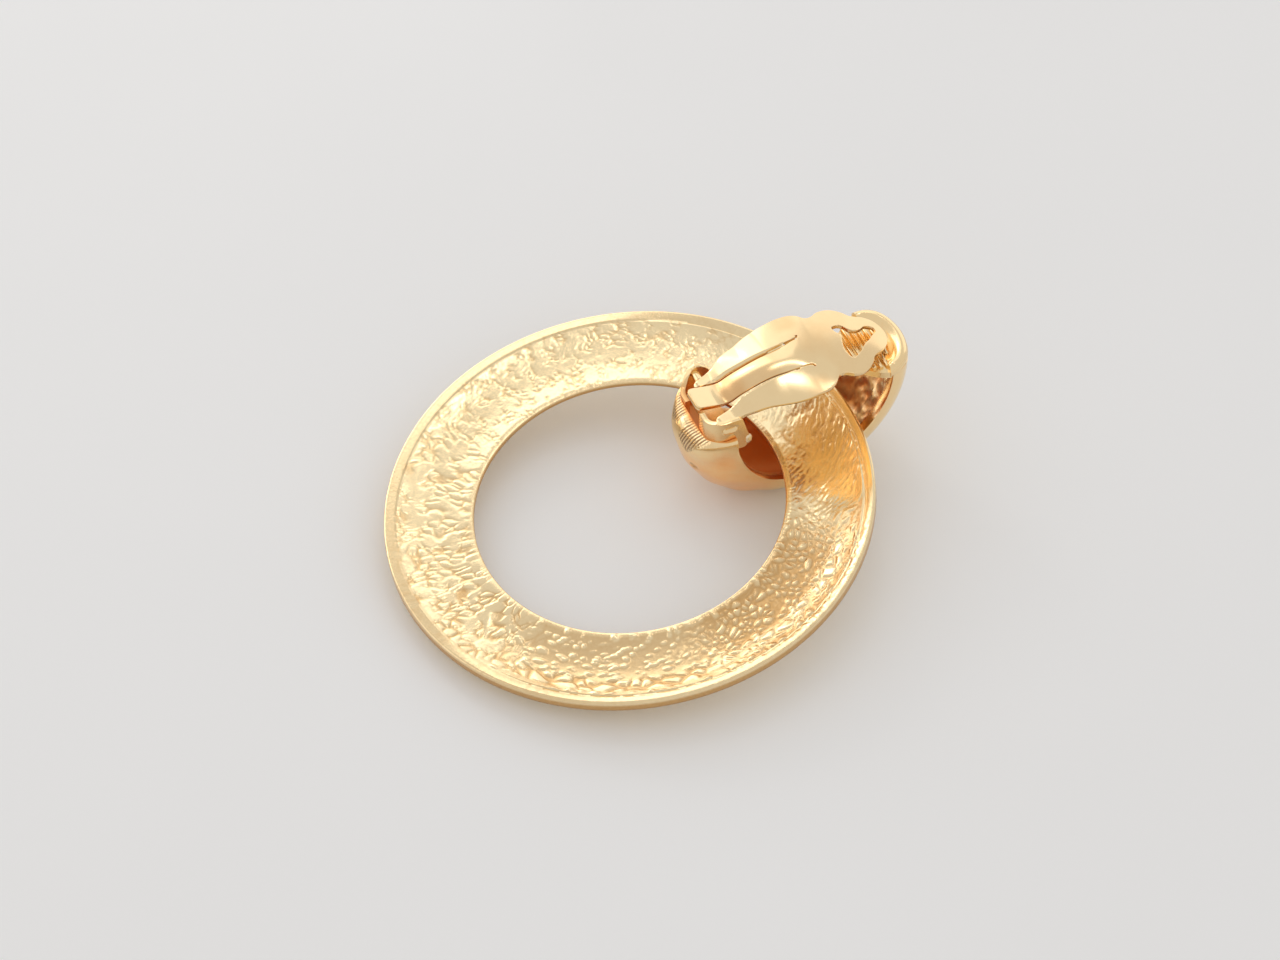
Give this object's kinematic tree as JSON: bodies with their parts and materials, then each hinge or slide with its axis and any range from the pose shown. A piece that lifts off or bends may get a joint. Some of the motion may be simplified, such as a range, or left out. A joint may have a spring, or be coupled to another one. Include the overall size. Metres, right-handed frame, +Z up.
{
  "type": "clip earring",
  "caption": "Gilt double hoop clip earring: a broad flat hoop hangs loose in a C-shaped half hoop closed by a hinged clip paddle, lying on its face.",
  "frame": {"origin": "middle of the part seen from above, on the ground it lies on", "axes": "+Z up through the back of the earring, +Y along the clip from its hinge towards the top of the earring, +X across the clip"},
  "size_m": [0.05, 0.0564, 0.0163],
  "materials": {
    "cast_gilt": "polished gilt casting with a hammered back",
    "bracket_gilt": "gilt stamped plate",
    "clip_gilt": "bright polished gilt spring plate"
  },
  "bodies": {
    "earring": {"large_hoop": "cast_gilt", "half_hoop": "cast_gilt", "hinge_bracket": "bracket_gilt"},
    "clip": {"clip_paddle": "clip_gilt"}
  },
  "joints": [
    {"name": "clip_hinge", "type": "hinge", "parent": "earring", "child": "clip", "pos_m": [-0.00291, 0.00696, 0.0134], "axis": [1, 0, 0], "range_deg": [0, 90]}
  ]
}
